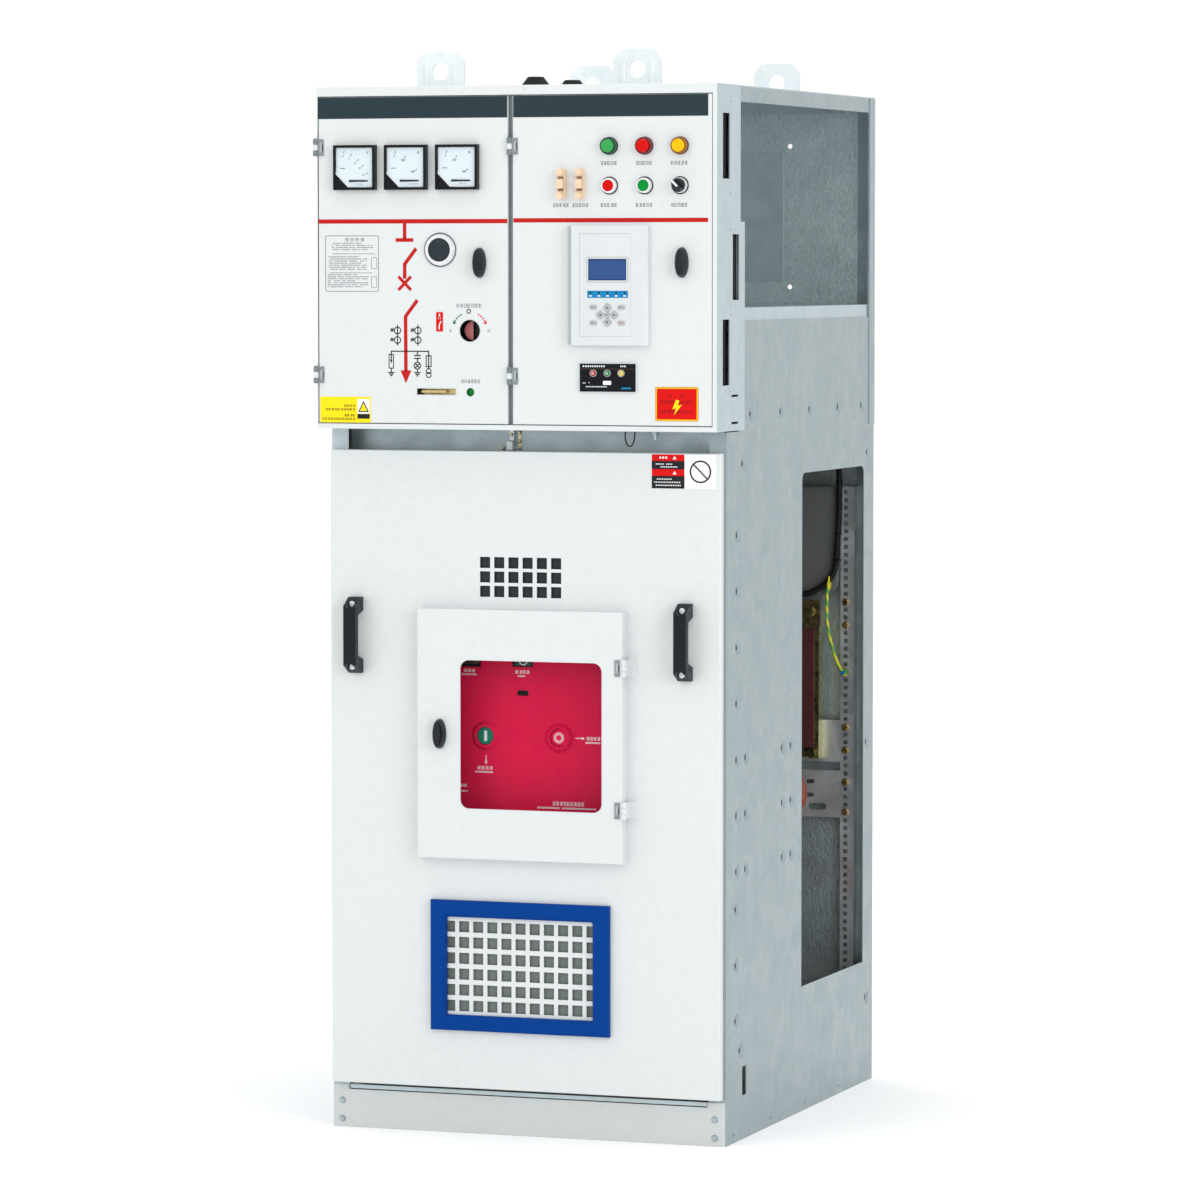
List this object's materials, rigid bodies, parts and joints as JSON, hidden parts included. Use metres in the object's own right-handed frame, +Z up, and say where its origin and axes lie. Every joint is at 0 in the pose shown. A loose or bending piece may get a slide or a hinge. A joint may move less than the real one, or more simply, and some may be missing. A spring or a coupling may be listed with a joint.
{
  "type": "industrial switchboard cabinet",
  "caption": "Floor-standing metal switchboard cubicle: instrument box with hinged doors on top, lift-off lower door with a small windowed door, open bus-bar chamber behind",
  "frame": {"origin": "centre of the four floor bolt holes, on the floor", "axes": "+Z up, +X to the right seen from the front, the doors face -Y"},
  "size_m": [0.7588, 0.992, 1.946],
  "materials": {
    "galvanised": "galvanised sheet, fine spangle",
    "paint_white": "light grey textured powder coat",
    "paint_blue": "blue powder coat",
    "black_plastic": "moulded, fine grain",
    "black_gloss": "smooth moulding",
    "grey_plastic": "moulded",
    "beige_plastic": "moulded",
    "red_plastic": "crimson moulding",
    "green_plastic": "green moulding",
    "red_button": "red moulding",
    "lamp": "coloured lenses",
    "resin": "cast epoxy resin",
    "resin_grey": "cast epoxy resin",
    "glass": "clear pane",
    "steel": "bright zinc",
    "yellow_zinc": "yellow-passivated zinc",
    "copper": "bare copper",
    "chrome": "polished",
    "rubber": "moulded rubber",
    "shaft_steel": "turned steel, one end coded red and black",
    "earth_green": "green and yellow insulation"
  },
  "bodies": {
    "cabinet": {"side_panel_left": "galvanised", "side_panel_right": "galvanised", "rear_cover": "galvanised", "roof_panel": "galvanised", "busbar_floor": "galvanised", "base_frame": "galvanised", "plinth_front": "paint_white", "floor_plate": "galvanised", "rubber_grommets": "rubber", "lifting_lugs": "galvanised", "instrument_box": "galvanised", "box_front_frame": "paint_white", "frame_hinges": "steel", "load_switch": "resin_grey", "insulators": "resin", "switch_mechanism": "galvanised", "breaker_case": "galvanised", "breaker_cover": "red_plastic", "breaker_poles": "resin", "copper_bars": "copper", "current_transformers": "resin", "rear_rails": "galvanised", "rail_bolts": "yellow_zinc", "earthing_bracket": "yellow_zinc", "cable_shroud": "grey_plastic", "control_cable": "rubber", "earth_lead": "earth_green", "terminal_strip": "grey_plastic", "fasteners": "steel"},
    "left_door": {"left_door_panel": "paint_white", "panel_meters": "black_gloss", "sight_glass": "chrome"},
    "left_knob": {"left_knob": "black_plastic"},
    "right_door": {"right_door_panel": "paint_white", "panel_bezels": "steel", "lamp_lenses": "lamp", "relay_case": "grey_plastic", "relay_keypad": "grey_plastic", "indicator_unit": "black_gloss", "link_blocks": "beige_plastic"},
    "right_knob": {"right_knob": "black_plastic"},
    "red_button": {"red_button": "red_button"},
    "green_button": {"green_button": "green_plastic"},
    "selector_switch": {"selector_switch": "black_plastic"},
    "test_link_left": {"test_link_left": "beige_plastic"},
    "test_link_right": {"test_link_right": "beige_plastic"},
    "lower_door": {"lower_door_panel": "paint_white", "door_handles": "black_plastic", "handle_screws": "steel", "grille_frame": "paint_blue", "grille_pane": "grey_plastic", "small_frame_hinges": "steel"},
    "small_door": {"small_door_panel": "paint_white", "small_door_window": "glass"},
    "small_knob": {"small_knob": "black_plastic"},
    "switch_shaft": {"switch_shaft": "shaft_steel"},
    "interlock_button": {"interlock_button": "green_plastic"},
    "interlock_slide": {"interlock_slide": "yellow_zinc"},
    "close_button": {"close_button": "green_plastic"},
    "trip_button": {"trip_button": "red_button"}
  },
  "joints": [
    {"name": "left_door_hinge", "type": "hinge", "parent": "cabinet", "child": "left_door", "pos_m": [-0.3775, -0.5195, 1.569], "axis": [0, 0, -1], "range_deg": [0, 110]},
    {"name": "left_knob_turn", "type": "hinge", "parent": "left_door", "child": "left_knob", "pos_m": [-0.065, -0.515, 1.5665], "axis": [0, 1, 0], "range_deg": [0, 90]},
    {"name": "right_door_hinge", "type": "hinge", "parent": "cabinet", "child": "right_door", "pos_m": [-0.0075, -0.5195, 1.569], "axis": [0, 0, -1], "range_deg": [0, 110]},
    {"name": "right_knob_turn", "type": "hinge", "parent": "right_door", "child": "right_knob", "pos_m": [0.3135, -0.515, 1.567], "axis": [0, 1, 0], "range_deg": [0, 90]},
    {"name": "red_button_press", "type": "slide", "parent": "right_door", "child": "red_button", "axis": [0, 1, 0], "range_m": [0, 0.004], "stiffness_N_per_m": 500, "springref_m": -0.002},
    {"name": "green_button_press", "type": "slide", "parent": "right_door", "child": "green_button", "axis": [0, 1, 0], "range_m": [0, 0.004], "stiffness_N_per_m": 500, "springref_m": -0.002},
    {"name": "selector_turn", "type": "hinge", "parent": "right_door", "child": "selector_switch", "pos_m": [0.31, -0.515, 1.702], "axis": [0, 1, 0], "range_deg": [0, 90]},
    {"name": "test_link_left_swing", "type": "hinge", "parent": "right_door", "child": "test_link_left", "pos_m": [0.091, -0.515, 1.684], "axis": [0, -1, 0], "range_deg": [0, 45]},
    {"name": "test_link_right_swing", "type": "hinge", "parent": "right_door", "child": "test_link_right", "pos_m": [0.126, -0.515, 1.684], "axis": [0, 1, 0], "range_deg": [0, 45]},
    {"name": "lower_door_lift_off", "type": "slide", "parent": "cabinet", "child": "lower_door", "axis": [0, -0.995, 0.0995], "range_m": [0, 0.4]},
    {"name": "small_door_hinge", "type": "hinge", "parent": "lower_door", "child": "small_door", "pos_m": [0.1995, -0.497, 0.725], "axis": [0, 0, 1], "range_deg": [0, 110]},
    {"name": "small_knob_turn", "type": "hinge", "parent": "small_door", "child": "small_knob", "pos_m": [-0.15, -0.495, 0.725], "axis": [0, -1, 0], "range_deg": [0, 90]},
    {"name": "switch_shaft_turn", "type": "hinge", "parent": "cabinet", "child": "switch_shaft", "pos_m": [-0.084, -0.411, 1.446], "axis": [0, 1, 0], "range_deg": [-90, 90]},
    {"name": "interlock_button_press", "type": "slide", "parent": "cabinet", "child": "interlock_button", "axis": [0, 1, 0], "range_m": [0, 0.004], "stiffness_N_per_m": 500, "springref_m": -0.002},
    {"name": "interlock_slide_shift", "type": "slide", "parent": "cabinet", "child": "interlock_slide", "axis": [1, 0, 0], "range_m": [0, 0.014]},
    {"name": "close_button_press", "type": "slide", "parent": "cabinet", "child": "close_button", "axis": [0, 1, 0], "range_m": [0, 0.004], "stiffness_N_per_m": 500, "springref_m": -0.002},
    {"name": "trip_button_press", "type": "slide", "parent": "cabinet", "child": "trip_button", "axis": [0, 1, 0], "range_m": [0, 0.004], "stiffness_N_per_m": 500, "springref_m": -0.002}
  ]
}
